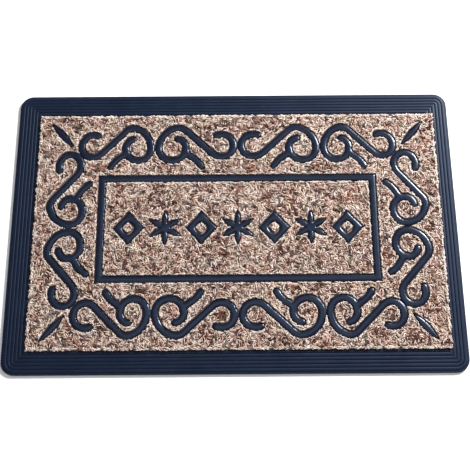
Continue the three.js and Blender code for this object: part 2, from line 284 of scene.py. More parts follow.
def rubber(name, dark, light, rough_low, rough_high, shine, grain):
    n = Nodes(name)
    place = n.add("ShaderNodeTexCoord").outputs["Object"]
    clouds = n.noise(place, 22, 5, 0.6)
    fine = n.noise(place, 900, 3, 0.6)
    scuff = n.noise(n.mapped(place, (1.0, 3.0, 1.0)), 70, 6, 0.7, 0.6)
    base = n.ramp(clouds, [(0.3, dark), (0.72, light)])
    dust = n.ramp(scuff, [(0.56, 0.0), (0.74, 1.0)])
    dusted = n.mix(n.maths("MULTIPLY", dust, 0.07), base, (0.12, 0.11, 0.10))
    n.link(dusted, n.shader.inputs["Base Color"])
    worn = n.maths("ADD", n.maths("MULTIPLY", clouds, 0.5), n.maths("MULTIPLY", scuff, 0.5))
    n.rough(worn, rough_low, rough_high, 0.3, 0.7)
    soft = n.bump(clouds, 0.25, 0.0012)
    n.link(n.bump(fine, grain, 0.00012, soft), n.shader.inputs["Normal"])
    n.shader.inputs["Specular Tint"].default_value = (0.62, 0.78, 1.0, 1.0)
    n.shader.inputs["IOR"].default_value = 1.5
    n.shader.inputs["Specular IOR Level"].default_value = shine
    return n.material


def yarn():
    """Yarn in the colours of reused fibre. tone picks the colour, hue tints it, along runs from root to tip
    and darkens the yarn towards its root as painted shade, and fibre follows the yarn."""
    n = Nodes("yarn_pile")
    tone = n.add("ShaderNodeAttribute", attribute_name="tone").outputs["Fac"]
    hue = n.add("ShaderNodeAttribute", attribute_name="hue").outputs["Fac"]
    along = n.add("ShaderNodeAttribute", attribute_name="along").outputs["Fac"]
    fibre = n.add("ShaderNodeAttribute", attribute_name="fibre").outputs["Vector"]
    place = n.add("ShaderNodeTexCoord").outputs["Object"]
    colours = [
        (0.00, (0.026, 0.011, 0.013)),
        (0.10, (0.085, 0.032, 0.027)),
        (0.22, (0.300, 0.100, 0.054)),
        (0.36, (0.470, 0.205, 0.128)),
        (0.52, (0.610, 0.350, 0.262)),
        (0.68, (0.720, 0.510, 0.420)),
        (0.84, (0.860, 0.715, 0.620)),
        (1.00, (0.950, 0.880, 0.810)),
    ]
    base = n.ramp(tone, colours)
    streaks = n.noise(fibre, 3.0, 4, 0.7)
    streaked = n.mix(0.55, base, n.ramp(streaks, [(0.32, 0.45), (0.68, 1.0)]), "MULTIPLY")
    # Painted shade: the yarn is darkened towards its root, low in the pile.
    painted_root_shade = n.ramp(along, [(0.0, 0.12), (0.42, 0.5), (0.75, 0.95), (1.0, 1.0)])
    rooted = n.mix(1.0, streaked, painted_root_shade, "MULTIPLY")
    tints = [
        (0.15, (1.0, 0.90, 0.92)),
        (0.42, (1.0, 0.95, 0.94)),
        (0.62, (1.0, 0.95, 0.90)),
        (0.85, (0.98, 0.95, 0.80)),
    ]
    rooted = n.mix(1.0, rooted, n.ramp(hue, tints), "MULTIPLY")
    pale = n.noise(place, 60, 3, 0.6)
    faded = n.maths("MULTIPLY", n.ramp(pale, [(0.45, 0.0), (0.7, 1.0)]), 0.25)
    lively = n.mix(faded, rooted, (0.90, 0.83, 0.72))
    n.link(lively, n.shader.inputs["Base Color"])
    n.rough(streaks, 0.72, 0.98)
    n.link(n.bump(streaks, 0.6, 0.0003), n.shader.inputs["Normal"])
    n.shader.inputs["Sheen Weight"].default_value = 0.25
    n.shader.inputs["Sheen Roughness"].default_value = 0.5
    n.shader.inputs["Specular IOR Level"].default_value = 0.25
    return n.material


def bed():
    """Short tangled fibre between the yarns' roots, coloured nearly black as painted shade deep in the pile.
    """
    n = Nodes("shaded_pile_bed")
    place = n.add("ShaderNodeTexCoord").outputs["Object"]
    tangle = n.noise(place, 420, 5, 0.75, 1.5)
    patches = n.noise(place, 110, 4, 0.6)
    # Painted shade: the bed's colours are near black so that the gaps between the yarns read as deep.
    fibres = [(0.3, (0.035, 0.018, 0.014)), (0.6, (0.22, 0.12, 0.08)), (0.8, (0.48, 0.33, 0.24))]
    wider = [(0.35, (0.08, 0.045, 0.035)), (0.65, (0.36, 0.23, 0.16))]
    base = n.mix(0.5, n.ramp(tangle, fibres), n.ramp(patches, wider))
    n.link(base, n.shader.inputs["Base Color"])
    n.rough(tangle, 0.8, 1.0)
    n.link(n.bump(tangle, 0.9, 0.0008), n.shader.inputs["Normal"])
    n.shader.inputs["Sheen Weight"].default_value = 0.2
    n.shader.inputs["Specular IOR Level"].default_value = 0.2
    return n.material


def cloth():
    """Plain weave of brown tape yarn."""
    n = Nodes("scrim_weave")
    place = n.add("ShaderNodeTexCoord").outputs["Object"]
    warp = n.add("ShaderNodeTexWave", bands_direction="X", wave_profile="SIN")
    weft = n.add("ShaderNodeTexWave", bands_direction="Y", wave_profile="SIN")
    for wave in (warp, weft):
        wave.inputs["Scale"].default_value = 160
        wave.inputs["Distortion"].default_value = 0.4
        n.link(place, wave.inputs["Vector"])
    weave = n.maths("MULTIPLY", warp.outputs["Fac"], weft.outputs["Fac"])
    fibres = n.noise(place, 800, 4, 0.7)
    base = n.ramp(weave, [(0.0, (0.035, 0.028, 0.022)), (1.0, (0.16, 0.13, 0.10))])
    streaked = n.mix(0.5, base, n.ramp(fibres, [(0.3, 0.5), (0.7, 1.0)]), "MULTIPLY")
    n.link(streaked, n.shader.inputs["Base Color"])
    n.rough(fibres, 0.75, 0.95)
    n.link(n.bump(weave, 0.6, 0.0003), n.shader.inputs["Normal"])
    return n.material


RUBBER = rubber("border_rubber", (0.0026, 0.0066, 0.020), (0.0050, 0.0100, 0.027), 0.44, 0.62, 0.23, 0.55)
# Painted shade: the ribs get a darker base colour than the border's rubber, for ribs sunk between the pile.
RIB_RUBBER = rubber("rib_rubber", (0.0018, 0.0050, 0.017), (0.0038, 0.0085, 0.024), 0.22, 0.36, 0.50, 0.16)
YARN, BED, CLOTH = yarn(), bed(), cloth()


# ---- Moulded ribs --------------------------------------------------------------------------------


def half_width(frame_node):
    """Half the width of a rib that runs round a rectangle, from its two outlines."""
    one, other = foot_loops(frame_node)
    return abs(one[:, 0].max() - other[:, 0].max()) / 2


RIB_HALF = half_width("panel_frame")
RIB_RINGS = (0.12 * MM, 0.4 * MM, 0.9 * MM, 1.7 * MM)  # rows of points follow the outline this far in
RIB_SPACING = 1.1 * MM  # of the points along the outline
RIB_GRID = 1.2 * MM  # between the points of the crown
GRID_ROW = 0.866  # height of a row of equal triangles, as a share of their side
FULLNESS = 2.6  # of a rib's section: 2 is an ellipse, more is squarer
SMOOTHINGS = 3
SKIRT = 0.05 * MM  # the upright part of a rib's side, at its foot


def rib_points(loops, edge):
    """Points between a rib's outlines: an even grid over the middle, and rows that follow the outlines."""
    low, high = np.concatenate(loops).min(0), np.concatenate(loops).max(0)
    xs, ys = np.arange(low[0], high[0], RIB_GRID), np.arange(low[1], high[1], RIB_GRID * GRID_ROW)
    gx, gy = np.meshgrid(xs, ys)
    gx = gx + (np.arange(gx.shape[0]) % 2)[:, None] * RIB_GRID / 2
    grid = np.stack([gx.ravel(), gy.ravel()], 1)
    grid = grid[inside(grid, loops)]
    points = [grid[edge.distance(grid) > RIB_RINGS[-1] + 0.5 * MM]]
    for loop in loops:
        ahead = np.roll(loop, -1, 0) - np.roll(loop, 1, 0)
        inwards = np.stack([-ahead[:, 1], ahead[:, 0]], 1)
        inwards /= np.maximum(np.linalg.norm(inwards, axis=1, keepdims=True), 1e-12)
        for inset in RIB_RINGS:
            ring = loop + inwards * inset
            points.append(ring[edge.distance(ring) > inset * 0.93])
    points = np.concatenate(points)
    return points[inside(points, loops)]


def crown(faces, depth):
    """A rib's height over its foot by how deep inside the outline each point is, smoothed over the middle."""
    share = (depth / RIB_HALF).clip(0, 1)
    rise = RIB_HEIGHT * (1 - (1 - share) ** FULLNESS) ** (1 / FULLNESS)
    pairs = np.concatenate([faces[:, [0, 1]], faces[:, [1, 2]], faces[:, [2, 0]]])
    pairs = np.concatenate([pairs, pairs[:, ::-1]])
    count = np.bincount(pairs[:, 0], minlength=len(depth)).clip(1)
    inner = depth > RIB_RINGS[1] * 1.1
    for _ in range(SMOOTHINGS):
        mean = np.bincount(pairs[:, 0], rise[pairs[:, 1]], len(depth)) / count
        rise[inner] += 0.5 * (mean - rise)[inner]
    return rise


def micrometres(point):
    return tuple(np.round(point * 1e6).astype(int))


def rib(node):
    """A moulded bar with a rounded crown over the outline of the CAD rib's foot."""
    loops = [rounded(loop, RIB_SPACING) for loop in foot_loops(node)]
    outer = max(range(len(loops)), key=lambda i: abs(area_of(loops[i])))
    loops = [loop if (area_of(loop) > 0) == (i == outer) else loop[::-1] for i, loop in enumerate(loops)]
    edge = Outline(loops)
    top, faces = triangulated(loops, rib_points(loops, edge))
    foot, foot_faces = triangulated(loops, np.empty((0, 2)))
    foot_at = {micrometres(p): i for i, p in enumerate(foot)}
    matching = {i: foot_at[key] for i, p in enumerate(top) if (key := micrometres(p)) in foot_at}
    depth = edge.distance(top)
    depth[list(matching)] = 0
    z = FLOOR_OF_GROOVES + SKIRT + crown(faces, depth) * (1 - SKIRT / RIB_HEIGHT)
    foot_z = np.full(len(foot), FLOOR_OF_GROOVES)
    vertices = np.concatenate([np.column_stack([top, z]), np.column_stack([foot, foot_z])])
    up, down = turns_left(top, faces), turns_left(foot, foot_faces)
    upper = [tuple(f) if u else tuple(f[::-1]) for f, u in zip(faces.tolist(), up)]
    lower = [tuple(len(top) + k for k in (f[::-1] if d else f)) for f, d in zip(foot_faces.tolist(), down)]
    edges = {(f[k], f[(k + 1) % 3]) for f in upper for k in range(3)}
    rim = [(i, j) for i, j in edges if (j, i) not in edges]
    sides = [(j, i, len(top) + matching[i], len(top) + matching[j]) for i, j in sorted(rim)]
    piece = new_piece(node + "_moulding", vertices, [*upper, *lower, *sides], RIB_RUBBER)
    face_outwards(piece)
    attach(piece, "root")
    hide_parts(node)
    return piece


def turns_left(points, faces):
    a, b, c = (points[faces[:, k]] for k in range(3))
    return (b - a)[:, 0] * (c - a)[:, 1] - (b - a)[:, 1] * (c - a)[:, 0] > 0


for rib_node in RIBS:
    rib(rib_node)


# ---- Border and backing --------------------------------------------------------------------------

CORNER_RADIUS = 18 * MM
SHARP_RADIUS = 0.15 * MM  # of a corner further in than the corner radius
CORNER_STEPS = 10
SIDE_STEPS = 24
SEAM = 0.02 * MM  # between the border and the backing
SHARP_ANGLE = math.radians(50)  # between two faces whose edge isn't smoothed

REEDS, REED_PITCH, FIRST_REED = 6, 4.7 * MM, 2.6 * MM
REED_DEPTH = 0.9 * MM
REED_FULLNESS = 2.6  # of a reed's section: 2 is round, more is squarer
REED_STEPS = (0.0, 0.05, 0.12, 0.2, 0.3, 0.4, 0.5, 0.6, 0.7, 0.8, 0.88, 0.95)  # shares of the pitch
EDGE_TOP = 1.6 * MM
EDGE_ROUND = 0.7 * MM
EDGE_STEPS = (0.0, 0.3, 0.55, 0.75, 0.9, 1.0)  # shares of the quarter turn
INNER_STRIP = 8 * MM  # flat strip inside the reeds, which the window cuts to the carpet's edge
WINDOW_BELOW, WINDOW_ABOVE = 2 * MM, 20 * MM

STUD_HEIGHT = 0.5 * MM
STUD_RADIUS, STUD_PITCH, STUD_SIDES = 3.2 * MM, 14 * MM, 10
STUD_PROFILE = ((1.0, STUD_HEIGHT), (0.93, 0.1 * MM), (0.8, 0.0))  # share of the radius, height
STUDS_FROM_EDGE = 14 * MM
BACKING_EDGE = ((0.35 * MM, STUD_HEIGHT), (0.1 * MM, 0.62 * MM), (0.0, 0.9 * MM))  # inset, height


def outline(inset):
    """The mat's outline moved inwards, with corners that turn sharp further in than their radius."""
    half = (BORDER[1] - BORDER[0]) / 2
    radius = max(CORNER_RADIUS - inset, SHARP_RADIUS)
    x, y = half.x - inset - radius, half.y - inset - radius
    centres = ((x, y), (-x, y), (-x, -y), (x, -y))
    points = []
    for quarter, (cx, cy) in enumerate(centres):
        for i in range(CORNER_STEPS + 1):
            angle = (quarter + i / CORNER_STEPS) * math.pi / 2
            points.append((cx + radius * math.cos(angle), cy + radius * math.sin(angle)))
        nx, ny = centres[(quarter + 1) % 4]
        turned = (quarter + 1) * math.pi / 2
        start = np.array([cx + radius * math.cos(turned), cy + radius * math.sin(turned)])
        end = np.array([nx + radius * math.cos(turned), ny + radius * math.sin(turned)])
        for share in np.linspace(0, 1, SIDE_STEPS + 1)[1:-1]:
            points.append(tuple(start + (end - start) * share))
    return np.array(points)


def reed_section():
    """(inset, height over the backing) of the border's top, from the mat's edge inwards."""
    last = FIRST_REED + REEDS * REED_PITCH
    full = BORDER[1].z - BACKING[1].z

    def valley(inset):
        return EDGE_TOP + (full - EDGE_TOP) * min(inset / last, 1.0) - REED_DEPTH

    section = []
    for share in EDGE_STEPS:
        angle = share * math.pi / 2
        round_off = EDGE_ROUND * (1 - math.sin(angle))
        section.append((EDGE_ROUND * (1 - math.cos(angle)), valley(0) - round_off))
    section.append((FIRST_REED - 0.45 * MM, valley(FIRST_REED) + 0.05 * MM))
    for i in range(REEDS):
        for share in REED_STEPS:
            inset = FIRST_REED + i * REED_PITCH + share * REED_PITCH
            rise = max(0.0, 1 - abs(2 * share - 1) ** REED_FULLNESS) ** 0.5
            section.append((inset, valley(inset) + REED_DEPTH * rise * 0.97))
    section.append((last, valley(last)))
    section.append((last + INNER_STRIP, valley(last)))
    return section


def rings_at(rows):
    """The mat's outline at each (inset, height), as one array of points, and the number in a ring."""
    rings = []
    for inset, z in rows:
        ring = outline(inset)
        rings.append(np.column_stack([ring, np.full(len(ring), z)]))
    return np.concatenate(rings), len(rings[0])


def band(here, there, count):
    """Faces between two rings of count points that start at the indices here and there."""
    ahead = [(i + 1) % count for i in range(count)]
    return [(here + i, here + j, there + j, there + i) for i, j in enumerate(ahead)]


def window():
    """The space over the carpet, which the border leaves open."""
    base = BACKING[1].z
    low = Vector((PILE[0].x - CLEARANCE, PILE[0].y - CLEARANCE, base - WINDOW_BELOW))
    high = Vector((PILE[1].x + CLEARANCE, PILE[1].y + CLEARANCE, base + WINDOW_ABOVE))
    mesh = bpy.data.meshes.new("window")
    bm = bmesh.new()
    bmesh.ops.create_cube(bm, size=1.0)
    for v in bm.verts:
        v.co = Vector([(lo + hi) / 2 + c * (hi - lo) for c, lo, hi in zip(v.co, low, high)])
    bm.to_mesh(mesh)
    bm.free()
    cutter = bpy.data.objects.new("window", mesh)
    bpy.context.scene.collection.objects.link(cutter)
    return cutter


def border():
    """The reeded ring: a closed section swept round the outline, less the window."""
    foot = BACKING[1].z + SEAM
    rows = [(inset, BACKING[1].z + height) for inset, height in reed_section()]
    rows = [(0.0, foot), *rows, (rows[-1][0], foot)]
    vertices, count = rings_at(rows)
    faces = []
    for k in range(len(rows)):
        faces += band(k * count, (k + 1) % len(rows) * count, count)
    piece = new_piece("reeded_border_moulding", vertices, faces, RUBBER)
    face_outwards(piece)
    cutter = window()
    cut = piece.modifiers.new("window", "BOOLEAN")
    cut.operation, cut.solver, cut.object = "DIFFERENCE", "MANIFOLD", cutter
    apply_modifiers(piece)
    bpy.data.objects.remove(cutter)
    smooth_by_angle(piece)
    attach(piece, "root")
    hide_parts("reeded_border")


def apply_modifiers(piece):
    bpy.context.view_layer.update()
    graph = bpy.context.evaluated_depsgraph_get()
    mesh = bpy.data.meshes.new_from_object(piece.evaluated_get(graph))
    piece.modifiers.clear()
    piece.data = mesh


def smooth_by_angle(piece):
    mesh = piece.data
    mesh.polygons.foreach_set("use_smooth", [True] * len(mesh.polygons))
    bm = bmesh.new()
    bm.from_mesh(mesh)
    for e in bm.edges:
        e.smooth = not (len(e.link_faces) == 2 and e.calc_face_angle(0) > SHARP_ANGLE)
    bm.to_mesh(mesh)
    bm.free()


def stud(cx, cy, at):
    """Vertices and faces of one low stud, whose first vertex has the index at."""
    vertices, faces, last = [], [], (len(STUD_PROFILE) - 1) * STUD_SIDES
    for share, z in STUD_PROFILE:
        for k in range(STUD_SIDES):
            angle = 2 * math.pi * k / STUD_SIDES
            r = STUD_RADIUS * share
            vertices.append((cx + r * math.cos(angle), cy + r * math.sin(angle), z))
    for ring in range(at, at + last, STUD_SIDES):
        for k in range(STUD_SIDES):
            a, b = ring + k, ring + (k + 1) % STUD_SIDES
            faces.append((b, a, a + STUD_SIDES, b + STUD_SIDES))
    faces.append(tuple(at + last + k for k in range(STUD_SIDES))[::-1])
    faces.append(tuple(at + k for k in range(STUD_SIDES)))
    return vertices, faces


def backing():
    """The sheet underneath, with rounded edges and rows of low studs that grip the floor."""
    rows = [*BACKING_EDGE, (0.0, BACKING[1].z)]
    rings, count = rings_at(rows)
    vertices, faces = list(rings), []
    for k in range(len(rows) - 1):
        faces += band(k * count, (k + 1) * count, count)
    faces.append(tuple(range(count))[::-1])
    faces.append(tuple((len(rows) - 1) * count + i for i in range(count)))
    across = int((BACKING[1].x - STUDS_FROM_EDGE) * 2 / STUD_PITCH)
    along = int((BACKING[1].y - STUDS_FROM_EDGE) * 2 / STUD_PITCH)
    for i in range(across + 1):
        for j in range(along + 1):
            if (i + j) % 2:
                continue
            place = (i - across / 2) * STUD_PITCH, (j - along / 2) * STUD_PITCH
            more_vertices, more_faces = stud(*place, len(vertices))
            vertices += more_vertices
            faces += more_faces
    piece = new_piece("rubber_backing_sheet", vertices, faces, RUBBER)
    face_outwards(piece)
    smooth_by_angle(piece)
    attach(piece, "root")
    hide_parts("rubber_backing")


border()
backing()


# ---- Where the pile may stand --------------------------------------------------------------------

CELL = 0.5 * MM
MARGIN = 6 * MM  # of the map round the carpet
FIRST_STEP = 16  # cells that a distance is passed on over at once
FARTHEST = 40  # cells: distances over this aren't told apart


class Ground:
    """How far each place on the carpet is from the nearest groove or edge: positive on the pile."""

    def __init__(self):
        self.low = np.array([PILE[0].x, PILE[0].y]) - MARGIN
        high = np.array([PILE[1].x, PILE[1].y]) + MARGIN
        self.count = np.ceil((high - self.low) / CELL).astype(int)
        xs = self.low[0] + (np.arange(self.count[0]) + 0.5) * CELL
        ys = self.low[1] + (np.arange(self.count[1]) + 0.5) * CELL
        gx, gy = np.meshgrid(xs, ys, indexing="ij")
        points = np.stack([gx.ravel(), gy.ravel()], 1)
        grooved = np.zeros(len(points), bool)
        for node in RIBS:
            loops = foot_loops(node)
            low, high = np.concatenate(loops).min(0), np.concatenate(loops).max(0)
            near = np.flatnonzero(((points > low - MM) & (points < high + MM)).all(1))
            grooved[near] |= inside(points[near], loops)
        self.groove = self.distances(grooved.reshape(self.count))
        rising = np.gradient(np.minimum(self.groove, self.from_edge(points).reshape(self.count)))
        self.away = np.stack(rising, -1) / np.maximum(np.hypot(*rising), 1e-12)[..., None]

    def distances(self, blocked):
        """Signed distance to the blocked cells: positive outside them."""
        return self.spread(blocked) - self.spread(~blocked)

    def spread(self, source):
        """Distance to the nearest source cell, found by passing it on over steps that halve."""
        nx, ny = source.shape
        far = 1e6
        ix, iy = np.meshgrid(np.arange(nx), np.arange(ny), indexing="ij")
        sx = np.where(source, ix, far)
        sy = np.where(source, iy, far)
        step = FIRST_STEP
        while step >= 1:
            for dx in (-step, 0, step):
                for dy in (-step, 0, step):
                    if dx == dy == 0:
                        continue
                    ax, ay = np.full_like(sx, far), np.full_like(sy, far)
                    to = (slice(max(dx, 0), nx + min(dx, 0)), slice(max(dy, 0), ny + min(dy, 0)))
                    fr = (slice(max(-dx, 0), nx + min(-dx, 0)), slice(max(-dy, 0), ny + min(-dy, 0)))
                    ax[to], ay[to] = sx[fr], sy[fr]
                    nearer = (ax - ix) ** 2 + (ay - iy) ** 2 < (sx - ix) ** 2 + (sy - iy) ** 2
                    sx, sy = np.where(nearer, ax, sx), np.where(nearer, ay, sy)
            step //= 2
        return np.minimum(np.hypot(sx - ix, sy - iy), FARTHEST) * CELL

    def index(self, points):
        at = ((points - self.low) / CELL).astype(int)
        return at[..., 0].clip(0, self.count[0] - 1), at[..., 1].clip(0, self.count[1] - 1)

    def from_groove(self, points):
        return self.groove[self.index(points)]

    def from_edge(self, points):
        x, y = points[..., 0], points[..., 1]
        return np.minimum.reduce([x - PILE[0].x, PILE[1].x - x, y - PILE[0].y, PILE[1].y - y])


ground = Ground()


# ---- Pile ----------------------------------------------------------------------------------------

SPACING = 1.85 * MM
ROW = 0.88  # height of a row of roots, as a share of the spacing
JITTER, RIM_JITTER = 0.42, 1.0 * MM  # of a root: a share of the spacing, and at the pile's edges
CLUMP = 10.0 * MM  # yarns of one clump lie the same way
TUFT = 3.6 * MM  # yarns of one tuft are alike in colour
SWAY = 1.4 * MM  # of the grid of clumps and tufts
RIM = 2.3 * MM  # width of the pile's edge, where the yarn lies along the groove
RIM_SHARE = 0.9  # of the yarns there
SHOULDER = 3.2 * MM  # width of the slope down to the groove
SHOULDER_DROP = 1.7 * MM
FROM_GROOVE, FROM_EDGE = 1.15 * MM, 0.45 * MM  # least distances of a root
OFF_SIDE, OFF_CROWN = 0.5 * MM, 0.35 * MM  # least distances of a yarn from a groove, lower and higher up
OVER_BORDER = 1.5 * MM  # how far a yarn may lie over the border, when it is this high above it:
ABOVE_BORDER = 0.6 * MM
YARN_WIDTH = 1.16 * MM
UPRIGHT_SHARE = 0.12
ROOT_Z = SCRIM[1].z + 1.0 * MM
TOP_Z = PILE[1].z
CROWN_Z = FLOOR_OF_GROOVES + RIB_HEIGHT
BED_GRID, BED_UNDER_TOP = 2.0 * MM, 3.9 * MM
SCRIM_GRID, SCRIM_INSET = 4.0 * MM, 0.2 * MM

SIDES, RINGS = 4, 5  # of a yarn's section, and along the yarn
# From root to tip, at each ring:
LIFT = np.array([0.0, 0.48, 0.82, 0.99, 0.93])  # share of the yarn's height
RIM_LIFT = np.array([0.0, 0.62, 0.92, 1.0, 0.90])
OVER = np.array([0.0, 0.14, 0.42, 0.74, 1.0])  # share of its reach
BEND = np.sin(np.linspace(0, 1, RINGS) * math.pi)  # share of its sideways curl
TAPER = np.array([0.85, 1.0, 1.0, 0.95, 0.55])  # share of its width


def hashed(i, j, salt):
    """A steady number from 0 to 1 for each pair of whole numbers."""
    h = (i.astype(np.int64) * 73856093) ^ (j.astype(np.int64) * 19349663) ^ (salt * 83492791)
    h = (h ^ (h >> 13)) * 1274126177 & 0x7FFFFFFF
    return (h ^ (h >> 16)) % 65536 / 65535.0


def clear(roots):
    """Whether yarns may be rooted at these places."""
    return (ground.from_groove(roots) > FROM_GROOVE) & (ground.from_edge(roots) > FROM_EDGE)


def planted():
    """Roots on a jittered grid, closer together along the grooves and the carpet's edge."""
    xs = np.arange(PILE[0].x + 0.6 * MM, PILE[1].x - 0.5 * MM, SPACING)
    ys = np.arange(PILE[0].y + 0.6 * MM, PILE[1].y - 0.5 * MM, SPACING * ROW)
    gx, gy = np.meshgrid(xs, ys)
    gx = gx + (np.arange(gx.shape[0]) % 2)[:, None] * SPACING / 2
    grid = np.stack([gx.ravel(), gy.ravel()], 1)
    roots = grid + RNG.uniform(-JITTER, JITTER, grid.shape) * SPACING
    rim = np.tile(grid, (2, 1))
    rim += RNG.uniform(-1.0, 1.0, rim.shape) * RIM_JITTER
    near = (ground.from_groove(rim) < RIM) | (ground.from_edge(rim) < RIM)
    roots = np.concatenate([roots, rim[near]])
    return roots[clear(roots)]


def patches(roots):
    """The clump and the tuft of each root, as pairs of whole numbers on a swaying grid."""
    x, y = roots[:, 0], roots[:, 1]
    sway = np.stack([np.sin(y / (11 * MM)) + np.sin(x / (7 * MM)), np.sin(x / (9 * MM) + 1.3)], 1)
    warped = roots + SWAY * sway
    clump, tuft = (np.floor(warped / size).astype(int) for size in (CLUMP, TUFT))
    return clump.T, tuft.T


def headings(clump, tuft):
    """Which way yarns lie: clumps take turns between a weave's two directions, and tufts stray from them."""
    turned = (clump[0] + clump[1]) % 2
    heading = np.where(turned, math.radians(84), math.radians(-6)) + (hashed(*clump, 3) - 0.5) * 0.8
    heading = heading + (hashed(*tuft, 7) - 0.5) * 1.1
    reverse = np.where(hashed(*clump, 5) > 0.5, math.pi, 0)
    return heading + reverse + RNG.normal(0, 0.16, len(turned))


def beside(roots, clump):
    """Headings along the nearest groove or edge."""
    away = ground.away[ground.index(roots)]
    along = np.arctan2(away[:, 0], -away[:, 1])
    return along + RNG.normal(0.0, 0.3, len(roots)) + math.pi * (hashed(*clump, 29) > 0.5)


def laid(roots, way, reach, curl, scale):
    """Places along each yarn, seen from above, when it goes scale times as far."""
    side = np.stack([-way[:, 1], way[:, 0]], 1)
    forward = way[:, None] * (OVER[None, :, None] * reach[:, None, None] * scale)
    return roots[:, None] + forward + side[:, None] * BEND[None, :, None] * curl[:, None, None] * scale


def fitting(roots, way, reach, curl, z, half):
    """The largest scale, in fifths, at which each yarn keeps off the ribs and the border."""
    least = np.where(z > CROWN_Z, OFF_CROWN, OFF_SIDE)
    over_edge = np.where(z > BORDER[1].z + ABOVE_BORDER, -OVER_BORDER, 0.0)
    best = np.zeros(len(roots))
    for scale in (0.0, 0.2, 0.4, 0.6, 0.8, 1.0):
        path = laid(roots, way, reach, curl, scale)
        off_groove = ground.from_groove(path) - half[:, None] > least
        off_edge = ground.from_edge(path) - half[:, None] * 0.8 > over_edge
        ok = (off_groove & off_edge)[:, 1:].all(1)
        best = np.where(ok & (best >= scale - 0.21), scale, best)
    return best


def strands():
    """Each yarn's centre line, half width, tone and hue."""
    roots = planted()
    n = len(roots)
    clump, tuft = patches(roots)
    heading = headings(clump, tuft)
    reach = RNG.uniform(5.0, 10.5, n) * MM
    upright = RNG.uniform(0, 1, n) < UPRIGHT_SHARE
    reach = np.where(upright, reach * 0.35, reach)
    height = TOP_Z - ROOT_Z - RNG.uniform(0.0, 1.5, n) ** 1.6 * MM + np.where(upright, 0.25 * MM, 0)
    height -= (hashed(*clump, 17) ** 2) * 0.7 * MM + (hashed(*tuft, 19) ** 2) * 1.3 * MM
    room = np.minimum(ground.from_groove(roots), ground.from_edge(roots))
    rim = (room < RIM) & (RNG.uniform(0, 1, n) < RIM_SHARE)
    heading = np.where(rim, beside(roots, clump), heading)
    reach = np.where(rim, RNG.uniform(3.0, 6.5, n) * MM, reach)
    height = np.where(rim, TOP_Z - ROOT_Z - RNG.uniform(0, 0.5, n) * MM, height)
    height -= (1 - room / SHOULDER).clip(0, 1) ** 1.3 * SHOULDER_DROP
    way = np.stack([np.cos(heading), np.sin(heading)], 1)
    back = roots - way * (0.55 * reach)[:, None]
    roots = np.where((clear(back) & ~rim)[:, None], back, roots)
    curl = RNG.normal(0, 0.55, n) * MM
    half = YARN_WIDTH / 2 * RNG.uniform(0.72, 1.25, n)
    z = ROOT_Z + np.where(rim[:, None], RIM_LIFT, LIFT) * height[:, None]
    best = fitting(roots, way, reach, curl, z, half)
    path = laid(roots, way, reach, curl, best[:, None, None])
    tone = tones(roots, clump, tuft, rim)
    hue = 0.45 * hashed(*tuft, 41) + 0.35 * hashed(*clump, 43) + 0.2 * RNG.uniform(0, 1, n)
    return np.dstack([path, z]), half, tone, hue.clip(0, 1)


def tones(roots, clump, tuft, rim):
    """Each yarn's place on the colour ramp: pale and dark clumps and tufts, with strays among them, and paler
    yarn along the pile's edges as a painted highlight.
    """
    n = len(roots)
    wide = 0.5 + 0.25 * np.sin(roots[:, 0] / (31 * MM) + 2 * np.sin(roots[:, 1] / (23 * MM)))
    tone = 0.20 + 0.28 * hashed(*clump, 11) + 0.38 * hashed(*tuft, 13) + 0.12 * wide
    tone = tone + RNG.normal(0, 0.16, n)
    kind = hashed(*tuft, 23)
    stray = RNG.uniform(0, 1, n)
    dark = (kind < 0.26) & (stray < 0.9) | (stray < 0.10)
    pale = (kind > 0.80) & (stray < 0.8) | (stray > 0.90)
    tone = np.where(dark, RNG.uniform(0.0, 0.17, n), tone)
    tone = np.where(pale & ~dark, RNG.uniform(0.86, 1.0, n), tone)
    # Painted highlight: yarn along the grooves and the carpet's edge is made paler, for the pile's lit edge.
    tone = np.where(rim, 0.86 + 0.35 * (tone - 0.5), tone)
    return tone.clip(0, 1)


PER_YARN = RINGS * SIDES + 1
QUADS = [(k, s) for k in range(RINGS - 1) for s in range(SIDES)]


def yarn_vertices(centre, half):
    """Rings of a flattened section round each centre line, and a point for each tip."""
    n = len(centre)
    ahead = np.gradient(centre, axis=1)
    ahead /= np.maximum(np.linalg.norm(ahead, axis=2, keepdims=True), 1e-12)
    flat = ahead[:, -1] * [1, 1, 0] + [1e-5, 0, 0]
    across = np.stack([-flat[:, 1], flat[:, 0], np.zeros(n)], 1)
    across /= np.maximum(np.linalg.norm(across, axis=1, keepdims=True), 1e-12)
    across = np.repeat(across[:, None], RINGS, 1)
    normal = np.cross(ahead, across)
    angles = 2 * np.pi * (np.arange(SIDES) + 0.5) / SIDES
    wide = np.cos(angles)[None, None, :, None] * across[:, :, None] * 1.12
    deep = np.sin(angles)[None, None, :, None] * normal[:, :, None] * 0.72
    rings = centre[:, :, None] + (wide + deep) * (half[:, None] * TAPER[None])[:, :, None, None]
    tips = centre[:, -1] + ahead[:, -1] * (half * 0.5)[:, None]
    return np.concatenate([rings.reshape(n, RINGS * SIDES, 3), tips[:, None]], 1)


def yarn_faces(n):
    """The corners of every yarn's faces in a row, and how many corners each face has."""
    quads = []
    for k, s in QUADS:
        low, beside_low = k * SIDES + s, k * SIDES + (s + 1) % SIDES
        quads += [low, beside_low, beside_low + SIDES, low + SIDES]
    last = (RINGS - 1) * SIDES
    caps = [i for s in range(SIDES) for i in (last + s, last + (s + 1) % SIDES, PER_YARN - 1)]
    corners = (np.arange(n) * PER_YARN)[:, None] + np.array(quads + caps)[None]
    return corners.ravel(), np.tile([4] * len(QUADS) + [3] * SIDES, n)


